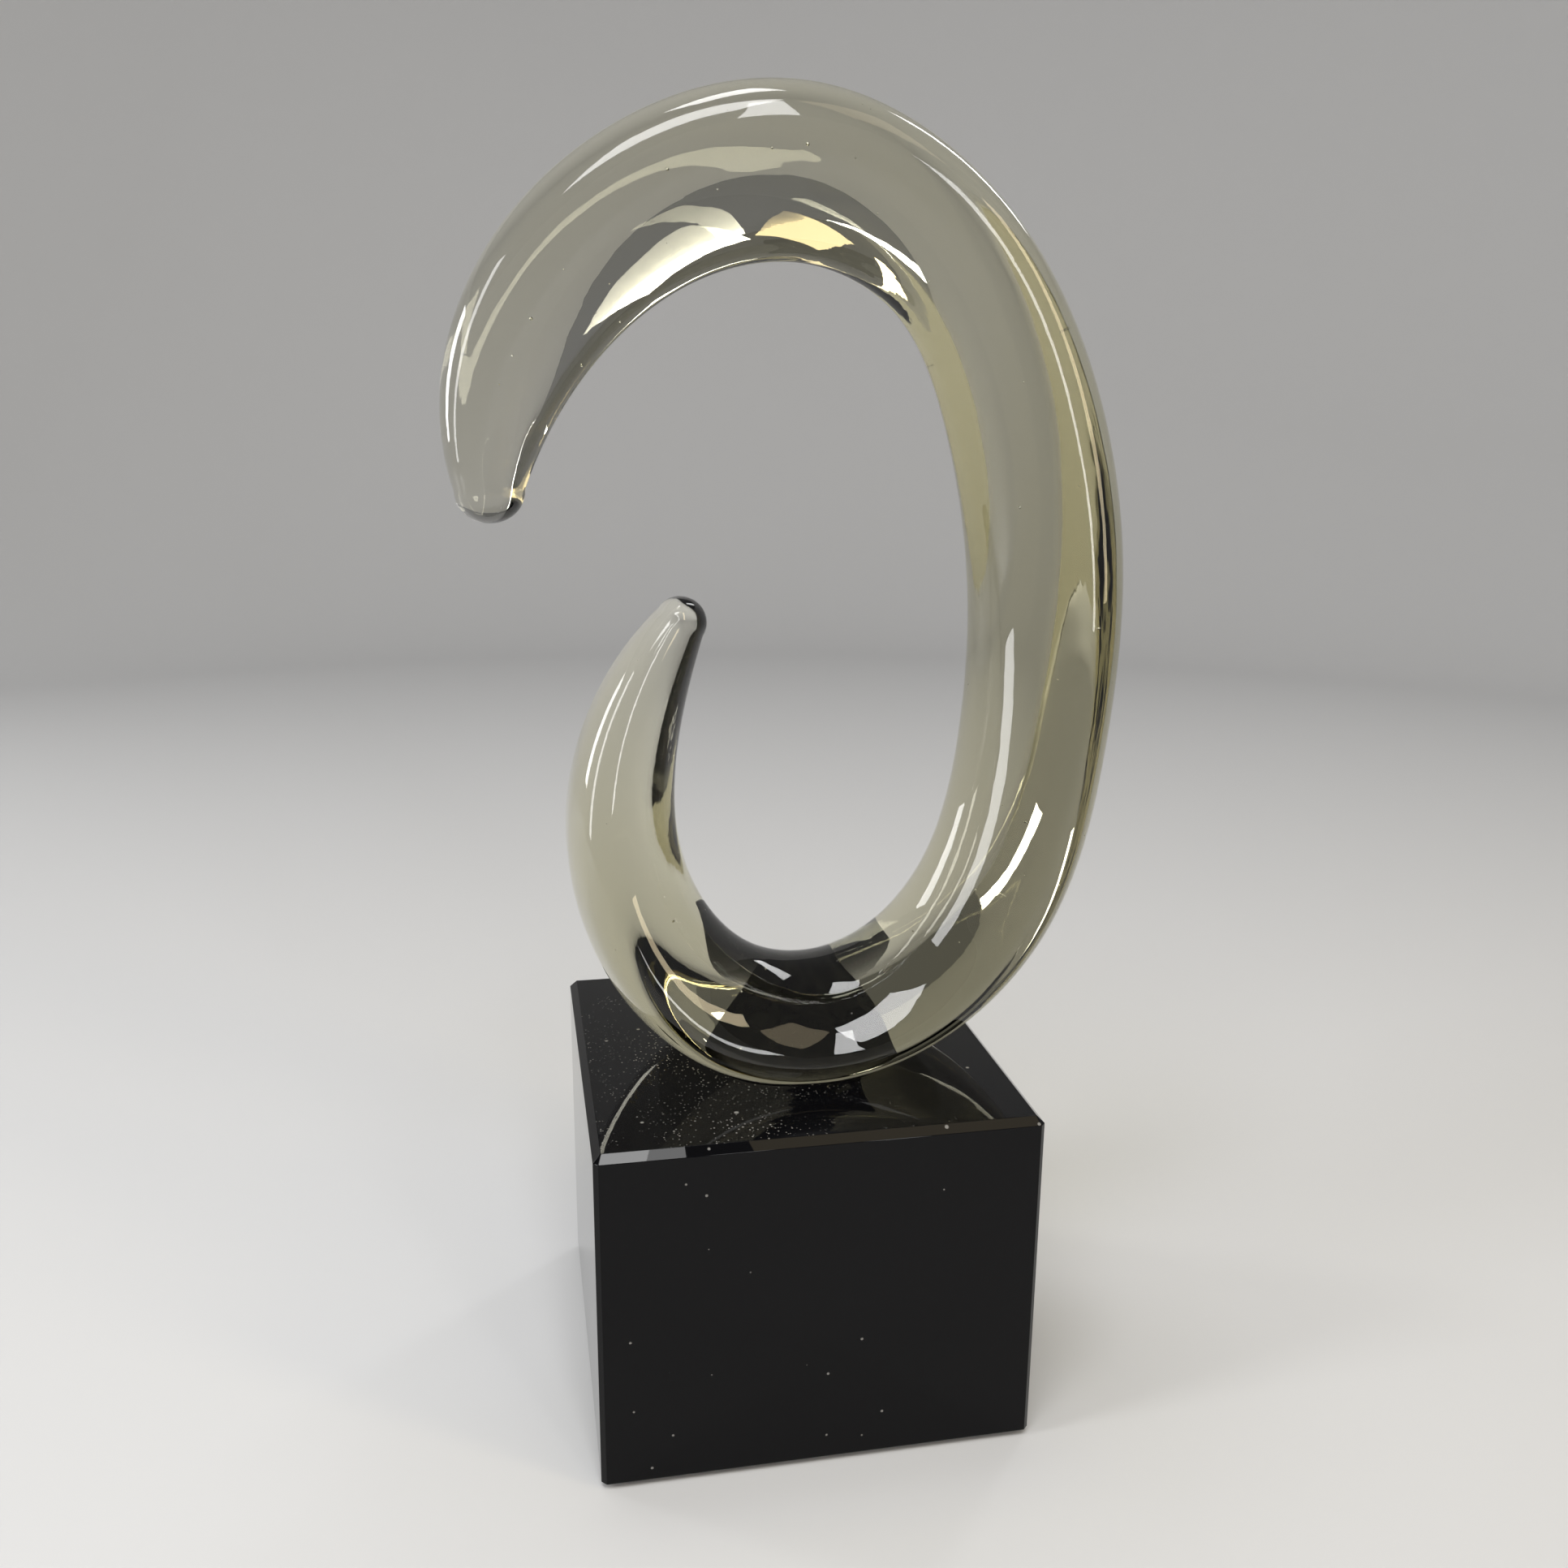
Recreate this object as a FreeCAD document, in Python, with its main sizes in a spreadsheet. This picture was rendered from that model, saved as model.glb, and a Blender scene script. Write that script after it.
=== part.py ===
"""Glass loop sculpture: an open, tapered loop of clear glass bonded to a polished black glass block.

Millimetres, +Z up. The origin is the middle of the underside of the felt pad that the sculpture
stands on. The loop lies in the XZ plane and is open towards -X. The block's front face looks to -Y.
"""
import FreeCAD, Part
import math
import os
import Sketcher
from FreeCAD import Vector

# Driving sizes, in millimetres
SIZES = {
    # The block and the pad under it
    "block_width": 80.0,
    "block_depth": 80.0,
    "block_height": 65.0,
    "top_bevel": 1.4,
    "side_bevel": 0.9,
    "foot_bevel": 0.7,
    "felt_thickness": 0.8,
    "felt_inset": 3.0,
    "felt_corner": 5.0,
    # The clear adhesive between the block and the loop
    "bond_thickness": 0.2,
    # The loop, over its outside, before its seat is ground
    "loop_width": 123.0,
    "loop_height": 178.5,
    "band_width": 28.5,
    "band_depth": 43.0,
    "upper_tip_length": 5.7,
    "lower_tip_length": 4.7,
    "seat_grind": 3.8,
    "cut_overrun": 5.0,
}

# Stations along the middle of the band, clockwise from the upper tip to the lower one. Each row
# holds X from the block's middle as a share of loop_width, Z from the loop's lowest place as a
# share of loop_height, the band's width as a share of band_width and its depth as a share of
# band_depth.
STATION_SHARES = [
    (-0.427, 0.622, 0.43, 0.35),
    (-0.385, 0.747, 0.80, 0.42),
    (-0.205, 0.880, 0.97, 0.49),
    (0.025, 0.918, 1.00, 0.56),
    (0.236, 0.842, 0.90, 0.65),
    (0.345, 0.707, 0.95, 0.73),
    (0.394, 0.545, 0.96, 0.81),
    (0.387, 0.364, 0.90, 0.88),
    (0.312, 0.181, 0.84, 0.94),
    (0.107, 0.068, 0.72, 1.00),
    (-0.093, 0.079, 0.80, 0.95),
    (-0.241, 0.222, 0.76, 0.77),
    (-0.224, 0.397, 0.58, 0.53),
    (-0.158, 0.490, 0.33, 0.30),
]

# Where the band is deepest, as a share of its width from the inner edge
BELLY_SHARE = 0.58

# How far two heights may differ and still count as level
LEVEL_TOLERANCE = 1e-6

# The handle of a cubic curve that follows a quarter of an ellipse, as a share of its radius
QUARTER_HANDLE_SHARE = 0.5523

# Steps between the close sections that the skin is ruled through
BAND_STEPS = 64
TIP_STEPS = 6


def make_sheet(doc):
    """The spreadsheet of driving sizes, one aliased cell for each."""
    sheet = doc.addObject("Spreadsheet::Sheet", "Sizes")
    for row, (name, size) in enumerate(SIZES.items(), start=1):
        sheet.set(f"A{row}", name)
        sheet.set(f"B{row}", str(size))
        sheet.setAlias(f"B{row}", name)
    doc.recompute()
    return sheet


def make_body(doc, label):
    """An empty body with its own name."""
    body = doc.addObject("PartDesign::Body", label)
    body.Label = label
    return body


def rectangle_sketch(body, name, width, depth):
    """A rectangle about the origin of the body's XY plane, sized by two expressions."""
    plane = next(item for item in body.Origin.OriginFeatures if item.Role == "XY_Plane")
    sketch = body.newObject("Sketcher::SketchObject", name)
    sketch.AttachmentSupport = [(plane, "")]
    sketch.MapMode = "FlatFace"
    corners = [Vector(-1, -1), Vector(1, -1), Vector(1, 1), Vector(-1, 1)]
    for index, corner in enumerate(corners):
        sketch.addGeometry(Part.LineSegment(corner, corners[(index + 1) % len(corners)]), False)
    for index in range(len(corners)):
        sketch.addConstraint(Sketcher.Constraint("Coincident", index, 2, (index + 1) % len(corners), 1))
    sketch.addConstraint(Sketcher.Constraint("Horizontal", 0))
    sketch.addConstraint(Sketcher.Constraint("Horizontal", 2))
    sketch.addConstraint(Sketcher.Constraint("Vertical", 1))
    sketch.addConstraint(Sketcher.Constraint("Vertical", 3))
    sketch.addConstraint(Sketcher.Constraint("Symmetric", 0, 1, 2, 1, -1, 1))
    along = sketch.addConstraint(Sketcher.Constraint("DistanceX", 0, 1, 0, 2, 2))
    across = sketch.addConstraint(Sketcher.Constraint("DistanceY", 1, 1, 1, 2, 2))
    sketch.setExpression(f"Constraints[{along}]", width)
    sketch.setExpression(f"Constraints[{across}]", depth)
    return sketch


def pad(body, name, sketch, height):
    """The sketch raised by an expression."""
    feature = body.newObject("PartDesign::Pad", name)
    feature.Profile = sketch
    feature.setExpression("Length", height)
    body.Document.recompute()
    return feature


def edges_where(shape, wanted):
    """Names of the edges whose two ends both pass the test."""
    names = []
    for index, edge in enumerate(shape.Edges, start=1):
        if wanted(edge):
            names.append(f"Edge{index}")
    return names


def is_upright(edge):
    """Whether an edge runs along Z."""
    return abs(edge.tangentAt(edge.FirstParameter).z) > math.cos(math.radians(1))


def lies_at(height):
    """A test for edges that lie level at a height."""
    def level(edge):
        return all(math.isclose(vertex.Point.z, height, abs_tol=LEVEL_TOLERANCE) for vertex in edge.Vertexes)
    return level


def dress(body, kind, name, base, edges, size_property, size):
    """A chamfer or a fillet on named edges, sized by an expression."""
    feature = body.newObject(f"PartDesign::{kind}", name)
    feature.Base = (base, edges)
    feature.setExpression(size_property, size)
    body.Document.recompute()
    return feature


def make_block(doc, sizes):
    """The polished black glass block, with its bevelled edges."""
    block = make_body(doc, "base_block")
    outline = rectangle_sketch(block, "BlockOutline", "Sizes.block_width", "Sizes.block_depth")
    raw = pad(block, "BlockPad", outline, "Sizes.block_height")
    uprights = edges_where(raw.Shape, is_upright)
    sides = dress(block, "Chamfer", "SideBevel", raw, uprights, "Size", "Sizes.side_bevel")
    rim = edges_where(sides.Shape, lies_at(sizes.block_height))
    top = dress(block, "Chamfer", "TopBevel", sides, rim, "Size", "Sizes.top_bevel")
    foot = edges_where(top.Shape, lies_at(0.0))
    dress(block, "Chamfer", "FootBevel", top, foot, "Size", "Sizes.foot_bevel")
    block.setExpression("Placement.Base.z", "Sizes.felt_thickness")
    return block


def make_felt(doc):
    """The thin felt pad stuck under the block, set in from its edges."""
    felt = make_body(doc, "felt_pad")
    width = "Sizes.block_width - 2 * Sizes.felt_inset"
    depth = "Sizes.block_depth - 2 * Sizes.felt_inset"
    outline = rectangle_sketch(felt, "FeltOutline", width, depth)
    sheet = pad(felt, "FeltPad", outline, "Sizes.felt_thickness")
    corners = edges_where(sheet.Shape, is_upright)
    dress(felt, "Fillet", "FeltCorners", sheet, corners, "Radius", "Sizes.felt_corner")
    return felt


def egg_section(centre, outward, width, depth):
    """A closed section of the band: two half ellipses that meet where it is deepest.

    The half towards the hole is the longer one, so the band is finer at its inner edge.
    """
    belly = centre + outward * (width * (BELLY_SHARE - 0.5))
    inner = outward * (-width * BELLY_SHARE)
    outer = outward * (width * (1 - BELLY_SHARE))
    front = Vector(0, -depth / 2, 0)
    edges = []
    for start, end in [(outer, front), (front, inner), (inner, -front), (-front, outer)]:
        quarter = Part.BezierCurve()
        quarter.setPoles([
            belly + start,
            belly + start + end * QUARTER_HANDLE_SHARE,
            belly + end + start * QUARTER_HANDLE_SHARE,
            belly + end,
        ])
        edges.append(quarter.toShape())
    return Part.Wire(edges)


def tip_sections(centre, away, outward, width, depth, length):
    """Sections that close the band as a rounded tip, from its root to its end."""
    profiles = []
    for step in range(1, TIP_STEPS):
        turn = math.pi / 2 * step / TIP_STEPS
        place = centre + away * (length * math.sin(turn))
        profiles.append(egg_section(place, outward, width * math.cos(turn), depth * math.cos(turn)))
    profiles.append(Part.Vertex(centre + away * length))
    return profiles


def drawn_glass(sizes):
    """The loop as it is drawn and bent: a skin ruled through close sections of a smooth band.

    One curve runs through the middles of the stations, and another one carries their width and
    depth at the same parameters, so both change smoothly from tip to tip.
    """
    middles = []
    girths = []
    for x_share, z_share, width_share, depth_share in STATION_SHARES:
        middles.append(Vector(x_share * sizes.loop_width, 0, z_share * sizes.loop_height))
        girths.append(Vector(width_share * sizes.band_width, depth_share * sizes.band_depth, 0))
    spine = Part.BSplineCurve()
    spine.interpolate(Points=middles)
    parameters = [spine.parameter(middle) for middle in middles]
    girth = Part.BSplineCurve()
    girth.interpolate(Points=girths, Parameters=parameters)

    band = []
    for step in range(BAND_STEPS + 1):
        parameter = spine.parameterAtDistance(spine.length() * step / BAND_STEPS, parameters[0])
        along = Vector(*spine.tangent(parameter)[0])
        outward = Vector(-along.z, 0, along.x)
        width, depth, _ = girth.value(parameter)
        band.append((spine.value(parameter), along, outward, width, depth))

    middle, along, *section = band[0]
    upper_tip = tip_sections(middle, -along, *section, sizes.upper_tip_length)
    middle, along, *section = band[-1]
    lower_tip = tip_sections(middle, along, *section, sizes.lower_tip_length)
    profiles = upper_tip[::-1]
    for middle, _, *section in band:
        profiles.append(egg_section(middle, *section))
    profiles.extend(lower_tip)
    return Part.makeLoft(profiles, True, True)


def stand_on_seat(drawn, sizes):
    """Moves the drawn loop to where its lowest place lies as deep as the grinding takes away."""
    seat_height = sizes.felt_thickness + sizes.block_height + sizes.bond_thickness
    lowest = drawn.optimalBoundingBox(False).ZMin
    drawn.translate(Vector(0, 0, seat_height - sizes.seat_grind - lowest))
    return drawn


def make_loop(doc, sizes):
    """The clear glass loop, with the flat seat ground into its underside."""
    drawn = doc.addObject("Part::Feature", "DrawnGlass")
    drawn.Shape = stand_on_seat(drawn_glass(sizes), sizes)
    wheel = doc.addObject("Part::Box", "GrindingCut")
    wheel.setExpression("Length", "Sizes.loop_width")
    wheel.setExpression("Width", "Sizes.band_depth + 2 * Sizes.cut_overrun")
    wheel.setExpression("Height", "Sizes.seat_grind + Sizes.cut_overrun")
    wheel.setExpression("Placement.Base.x", "-Sizes.loop_width / 2")
    wheel.setExpression("Placement.Base.y", "-Sizes.band_depth / 2 - Sizes.cut_overrun")
    wheel.setExpression(
        "Placement.Base.z",
        "Sizes.felt_thickness + Sizes.block_height + Sizes.bond_thickness"
        " - Sizes.seat_grind - Sizes.cut_overrun",
    )
    loop = doc.addObject("Part::Cut", "glass_loop")
    loop.Label = "glass_loop"
    loop.Base = drawn
    loop.Tool = wheel
    doc.recompute()
    return loop


def make_bond(doc, sizes, loop):
    """The clear adhesive film, as wide as the loop's ground seat."""
    seat = min(loop.Shape.Faces, key=lambda face: face.CenterOfMass.z)
    bond = doc.addObject("Part::Feature", "bond_film")
    bond.Label = "bond_film"
    bond.Shape = seat.extrude(Vector(0, 0, -sizes.bond_thickness))
    return bond


def check_document(doc, pieces):
    """Stops on any object that failed, and on any piece without a sound solid."""
    for item in doc.Objects:
        faults = [state for state in item.State if state in ("Invalid", "Error")]
        if faults:
            raise RuntimeError(f"{item.Name} is {faults}")
    for piece in pieces:
        if piece.Shape.isNull() or not piece.Shape.isValid() or not piece.Shape.Solids:
            raise RuntimeError(f"{piece.Label} has no sound solid")


def main():
    doc = FreeCAD.newDocument("GlassLoopSculpture")
    sizes = make_sheet(doc)
    felt = make_felt(doc)
    block = make_block(doc, sizes)
    loop = make_loop(doc, sizes)
    bond = make_bond(doc, sizes, loop)
    doc.recompute()
    pieces = [felt, block, bond, loop]
    check_document(doc, pieces)
    os.makedirs("parts", exist_ok=True)
    for piece in pieces:
        piece.Shape.exportStep(f"parts/{piece.Label}.step")
        box = piece.Shape.BoundBox
        print(f"{piece.Label}: {piece.Shape.Volume:.0f} mm3, Z {box.ZMin:.2f} to {box.ZMax:.2f}")


main()
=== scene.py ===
"""Glass loop sculpture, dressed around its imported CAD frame.

Smooth clear glass, a polished black block, the adhesive film and the felt pad stand for the CAD
solids, in metres and in the frame's own axes. A pale studio and a camera go round them.
"""

import math
import random

import bmesh
import bpy
import numpy as np
from bpy.props import FloatProperty, FloatVectorProperty, IntProperty, PointerProperty
from mathutils import Matrix, Vector, noise


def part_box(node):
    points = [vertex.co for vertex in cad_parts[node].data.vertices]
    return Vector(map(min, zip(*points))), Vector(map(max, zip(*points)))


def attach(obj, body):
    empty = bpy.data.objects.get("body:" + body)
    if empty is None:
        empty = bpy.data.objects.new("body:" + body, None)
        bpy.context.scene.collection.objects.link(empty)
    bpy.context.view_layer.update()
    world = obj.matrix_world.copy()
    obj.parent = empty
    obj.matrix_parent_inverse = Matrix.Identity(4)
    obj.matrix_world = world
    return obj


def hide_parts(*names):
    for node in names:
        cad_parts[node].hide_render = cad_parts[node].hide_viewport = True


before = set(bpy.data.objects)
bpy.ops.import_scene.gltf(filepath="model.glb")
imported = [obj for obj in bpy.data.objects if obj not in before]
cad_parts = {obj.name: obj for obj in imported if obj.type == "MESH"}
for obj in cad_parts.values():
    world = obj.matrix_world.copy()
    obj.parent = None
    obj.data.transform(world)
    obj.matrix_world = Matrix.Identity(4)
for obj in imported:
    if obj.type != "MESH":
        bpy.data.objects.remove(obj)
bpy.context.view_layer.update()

bl_info = {
    "name": "Glass Loop Sculpture",
    "version": (1, 0, 0),
    "blender": (4, 5, 0),
    "location": "View3D > Sidebar > Sculpture",
    "description": "Makes an open loop of clear glass on a polished black glass block",
    "category": "Add Mesh",
}

MM = 0.001

# Where the ground seat, the block and the felt lie, read from the frame
SEAT_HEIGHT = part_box("glass_loop")[0].z
BLOCK_LOW, BLOCK_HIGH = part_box("base_block")
FELT_LOW, FELT_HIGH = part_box("felt_pad")

# Stations along the middle of the band, clockwise from the upper tip to the lower one: X from the
# block's middle as a share of the loop's width, Z from the loop's lowest place as a share of its
# height, and the band's width and depth as shares of its largest ones
STATION_SHARES = [
    (-0.427, 0.622, 0.43, 0.35),
    (-0.385, 0.747, 0.80, 0.42),
    (-0.205, 0.880, 0.97, 0.49),
    (0.025, 0.918, 1.00, 0.56),
    (0.236, 0.842, 0.90, 0.65),
    (0.345, 0.707, 0.95, 0.73),
    (0.394, 0.545, 0.96, 0.81),
    (0.387, 0.364, 0.90, 0.88),
    (0.312, 0.181, 0.84, 0.94),
    (0.107, 0.068, 0.72, 1.00),
    (-0.093, 0.079, 0.80, 0.95),
    (-0.241, 0.222, 0.76, 0.77),
    (-0.224, 0.397, 0.58, 0.53),
    (-0.158, 0.490, 0.33, 0.30),
]

# The attribute that holds where a point would lie if the bent band were straightened
STRAIGHT = "straight"

# Points nearer to each other than this are one point
TOUCHING = 1e-6

# Rings in each rounded tip, and samples that measure the length of the band
TIP_STEPS = 14
CURVE_SAMPLES = 4000

# How closely the ridges stand round the band, how long they are, and how high they are everywhere
# against how much they grow towards the rim
RIDGE_TURNS = 2.2
RIDGE_LENGTH = 110 * MM
RIDGE_EVENNESS = 1.2

# How far from the band's middle seed bubbles lie, as a share of its width and depth, the smallest
# one as a share of the largest, and the radii that keep them off the seat
BUBBLE_REACH = 0.38
SMALLEST_BUBBLE = 0.35
SEAT_CLEARANCE = 4

# How high the broad ripples of the clear glass are, against its streaks
RIPPLE_HEIGHT = 9

# How strongly each clear or polished finish bends light. The block's is below that of glass,
# because a pale floor brightens it more than a dark room would
CLEAR_GLASS_IOR = 1.5
BLACK_GLASS_IOR = 1.26
ADHESIVE_IOR = 1.1

# How much of the block settled dust and single specks hide, how much the way to the front counts
# against the way to the left, and where along that way dust begins and is full
SETTLED_COVER = 0.6
SPECK_COVER = 0.5
FRONT_SHARE = 0.6
DUST_BEGINS = -12 * MM
DUST_FULL = 34 * MM

# What smudges, dust and wiping add to how rough the glass is, and how rough the clean block is
POLISH_ROUGHNESS = 0.01
SMUDGE_ROUGHNESS = 0.015
LOOP_DUST_ROUGHNESS = 0.5
WIPED_ROUGHNESS = 0.07
BLOCK_DUST_ROUGHNESS = 0.7

# Bright and dull places of a bubble's silvery wall
SILVER = (0.92, 0.92, 0.88)
DULL_SILVER = (0.55, 0.55, 0.52)

# Thicker places of the adhesive, and how high the fibres of the felt stand
FILM_GREY = (0.008, 0.008, 0.008)
FIBRE_HEIGHT = 0.12 * MM


# Sizes and colours

class LoopSizes(bpy.types.PropertyGroup):
    """Sizes of the glass loop."""

    loop_width: FloatProperty(
        name="Loop Width", description="Width over the outside of the drawn loop",
        default=123 * MM, unit="LENGTH", precision=4)
    loop_height: FloatProperty(
        name="Loop Height", description="Height of the drawn loop before its seat is ground",
        default=178.5 * MM, unit="LENGTH", precision=4)
    band_width: FloatProperty(
        name="Band Width", description="Largest width of the band, seen from the front",
        default=28.5 * MM, unit="LENGTH", precision=4)
    band_depth: FloatProperty(
        name="Band Depth", description="Largest depth of the band, from front to back",
        default=43 * MM, unit="LENGTH", precision=4)
    upper_tip: FloatProperty(
        name="Upper Tip", description="Length of the rounded upper tip",
        default=5.7 * MM, unit="LENGTH", precision=4)
    lower_tip: FloatProperty(
        name="Lower Tip", description="Length of the rounded lower tip",
        default=4.7 * MM, unit="LENGTH", precision=4)
    seat_grind: FloatProperty(
        name="Seat Grind", description="Depth of glass that is ground off under the loop",
        default=3.8 * MM, unit="LENGTH", precision=4)
    belly_share: FloatProperty(
        name="Belly",
        description="Deepest place of an even band, as a share of its width from the hole",
        default=0.58, min=0.5, max=0.7, subtype="FACTOR")
    rim_fullness: FloatProperty(
        name="Rim Fullness", description="How much fuller the band is towards its outer rim",
        default=0.22, min=0.01, max=0.5, subtype="FACTOR")
    draw_ridges: FloatProperty(
        name="Draw Ridges", description="Height of the long ridges that drawing left in the glass",
        default=0.35 * MM, min=0, unit="LENGTH", precision=5)
    ring_spacing: FloatProperty(
        name="Ring Spacing", description="Distance between the rings of the mesh",
        default=1.2 * MM, min=0.5 * MM, unit="LENGTH", precision=4)
    ring_points: IntProperty(
        name="Ring Points", description="Points in each ring of the mesh", default=96, min=16)
    bubble_count: IntProperty(
        name="Bubbles", description="How many seed bubbles the glass holds", default=26, min=0)
    bubble_radius: FloatProperty(
        name="Bubble Radius", description="Radius of the largest seed bubble",
        default=0.32 * MM, unit="LENGTH", precision=5)


class BaseSizes(bpy.types.PropertyGroup):
    """Sizes of the block, the adhesive film and the felt."""

    top_bevel: FloatProperty(
        name="Top Bevel", description="Polished bevel round the top of the block",
        default=1.4 * MM, unit="LENGTH", precision=4)
    side_bevel: FloatProperty(
        name="Side Bevel", description="Polished bevel on the upright edges",
        default=0.9 * MM, unit="LENGTH", precision=4)
    foot_bevel: FloatProperty(
        name="Foot Bevel", description="Bevel round the foot of the block",
        default=0.7 * MM, unit="LENGTH", precision=4)
    arris_round: FloatProperty(
        name="Arris Round", description="How far polishing has rounded each arris",
        default=0.12 * MM, unit="LENGTH", precision=5)
    film_rise: FloatProperty(
        name="Film Rise", description="How far the film bites into the ground seat",
        default=0.03 * MM, unit="LENGTH", precision=5)
    felt_corner: FloatProperty(
        name="Felt Corner", description="Radius of the felt pad's corners",
        default=5 * MM, unit="LENGTH", precision=4)
    felt_edge: FloatProperty(
        name="Felt Edge", description="How soft the cut edge of the felt is",
        default=0.25 * MM, unit="LENGTH", precision=5)


class GlassLook(bpy.types.PropertyGroup):
    """Colours and finish of the glass and the block."""

    tint: FloatVectorProperty(
        name="Smoke Tint", description="Colour that light takes on in thick clear glass",
        default=(0.69, 0.665, 0.485), size=3, min=0, max=1, subtype="COLOR")
    tint_density: FloatProperty(
        name="Tint Density", description="How soon the tint shows, per metre of glass",
        default=47, min=0)
    streak_depth: FloatProperty(
        name="Streak Depth", description="Height of the faint lengthwise streaks",
        default=0.012 * MM, unit="LENGTH", precision=6)
    shade: FloatVectorProperty(
        name="Glass Shade", description="Light that the clear glass lets through to its shadow",
        default=(0.70, 0.69, 0.61), size=3, min=0, max=1, subtype="COLOR")
    black: FloatVectorProperty(
        name="Black Glass", description="Colour of the black glass block",
        default=(0.002, 0.002, 0.0025), size=3, min=0, max=1, subtype="COLOR")
    dust: FloatVectorProperty(
        name="Dust", description="Colour of the dust on the block and the loop",
        default=(0.34, 0.33, 0.31), size=3, min=0, max=1, subtype="COLOR")
    felt: FloatVectorProperty(
        name="Felt", description="Colour of the felt pad",
        default=(0.02, 0.02, 0.022), size=3, min=0, max=1, subtype="COLOR")


class StageLook(bpy.types.PropertyGroup):
    """Colour of the studio, its lamps and its camera."""

    floor: FloatVectorProperty(
        name="Floor", description="Colour of the floor and the backdrop",
        default=(0.55, 0.55, 0.55), size=3, min=0, max=1, subtype="COLOR")
    backdrop_radius: FloatProperty(
        name="Backdrop Radius",
        description="Distance from the sculpture to the wall of the backdrop",
        default=1.25, unit="LENGTH")
    backdrop_height: FloatProperty(
        name="Backdrop Height", description="Height of the wall of the backdrop",
        default=0.75, unit="LENGTH")
    backdrop_sweep: FloatProperty(
        name="Backdrop Sweep", description="Radius between the floor and the wall",
        default=0.35, unit="LENGTH")
    ceiling: FloatVectorProperty(
        name="Ceiling", description="Colour of the dim room above the backdrop",
        default=(0.15, 0.15, 0.155), size=3, min=0, max=1, subtype="COLOR")
    lamp_level: FloatProperty(
        name="Lamp Level", description="Brightness of all the soft lamps", default=0.72, min=0)
    camera_place: FloatVectorProperty(
        name="Camera Place", description="Where the camera stands",
        default=(-50.45 * MM, -253.93 * MM, 184.49 * MM), size=3, subtype="TRANSLATION")
    camera_yaw: FloatProperty(
        name="Camera Yaw", description="How far the camera looks to the right",
        default=math.radians(11.21), subtype="ANGLE")
    camera_pitch: FloatProperty(
        name="Camera Pitch", description="How far the camera looks down",
        default=math.radians(14.30), subtype="ANGLE")
    camera_roll: FloatProperty(
        name="Camera Roll", description="How far the camera is tilted anticlockwise",
        default=math.radians(0.49), subtype="ANGLE")
    camera_lens: FloatProperty(
        name="Camera Lens", description="Focal length on a 36 mm wide sensor, in millimetres",
        default=32.35)


PROPERTY_SETS = {
    "loop_sizes": LoopSizes,
    "base_sizes": BaseSizes,
    "glass_look": GlassLook,
    "stage_look": StageLook,
}


# Node helpers

def put(tree, kind, inputs=(), **settings):
    """Adds a node, sets its settings, and gives its inputs values or links."""
    node = tree.nodes.new(kind)
    for name, value in settings.items():
        setattr(node, name, value)
    for name, value in dict(inputs).items():
        if isinstance(value, bpy.types.NodeSocket):
            tree.links.new(value, node.inputs[name])
        else:
            node.inputs[name].default_value = value
    return node


def maths(tree, operation, *values):
    """The output of a Math node."""
    return put(tree, "ShaderNodeMath", dict(enumerate(values)), operation=operation).outputs[0]


def weighted(tree, *pairs, base=0.0):
    """A base value and a sum of values, each times its weight."""
    total = base
    for value, weight in pairs:
        total = maths(tree, "MULTIPLY_ADD", value, weight, total)
    return total


def fade(tree, value, low, high):
    """A value that goes smoothly from 0 at low to 1 at high."""
    return put(
        tree, "ShaderNodeMapRange",
        {"Value": value, "From Min": low, "From Max": high},
        interpolation_type="SMOOTHSTEP").outputs["Result"]


def blend_colour(tree, share, first, second):
    """A colour between two colours."""
    node = put(tree, "ShaderNodeMix", {0: share}, data_type="RGBA")
    for socket, value in ((node.inputs[6], first), (node.inputs[7], second)):
        if isinstance(value, bpy.types.NodeSocket):
            tree.links.new(value, socket)
        else:
            socket.default_value = (*value, 1)
    return node.outputs[2]


def new_group(name, inputs, outputs):
    """A node group with named sockets, its input node and its output node."""
    tree = bpy.data.node_groups.new(name, "ShaderNodeTree")
    for label, kind in inputs.items():
        tree.interface.new_socket(name=label, in_out="INPUT", socket_type=f"NodeSocket{kind}")
    for label, kind in outputs.items():
        tree.interface.new_socket(name=label, in_out="OUTPUT", socket_type=f"NodeSocket{kind}")
    return tree, tree.nodes.new("NodeGroupInput"), tree.nodes.new("NodeGroupOutput")


def use_group(tree, name, **inputs):
    """Places a node group in a material and gives its named inputs."""
    named = {label.replace("_", " ").title(): value for label, value in inputs.items()}
    return put(tree, "ShaderNodeGroup", named, node_tree=bpy.data.node_groups[name])


def new_material(name):
    """An empty node material and its tree."""
    material = bpy.data.materials.new(name)
    material.use_nodes = True
    material.node_tree.nodes.clear()
    return material, material.node_tree


# Shared effects

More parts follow.
